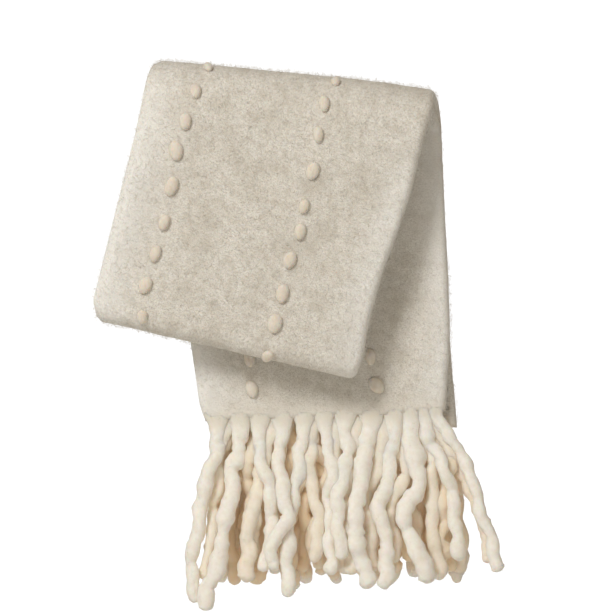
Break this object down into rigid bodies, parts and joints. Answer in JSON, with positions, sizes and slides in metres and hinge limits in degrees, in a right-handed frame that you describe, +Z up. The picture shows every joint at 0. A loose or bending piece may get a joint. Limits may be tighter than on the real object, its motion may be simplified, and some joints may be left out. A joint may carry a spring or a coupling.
{
  "type": "mohair throw",
  "caption": "Brushed throw folded lengthwise and end to end, hung askew over a bar, with lines of bobbles and a thick felted fringe.",
  "frame": {"origin": "on the inside of the top fold, at the middle of its length, where a bar bears", "axes": "+Z up; +X to the viewer's right, along the top fold, which drops 6 degrees to the right; +Y away from the viewer, from the flap to the hanging ends"},
  "size_m": [0.4615, 0.1346, 0.6246],
  "materials": {
    "brushed_mohair": "brushed, matt, heathered cream",
    "soft_roving": "felted, matt, pale cream"
  },
  "bodies": {
    "root": {"throw_cloth": "brushed_mohair", "front_fringe": "soft_roving", "rear_fringe": "soft_roving"}
  },
  "joints": []
}
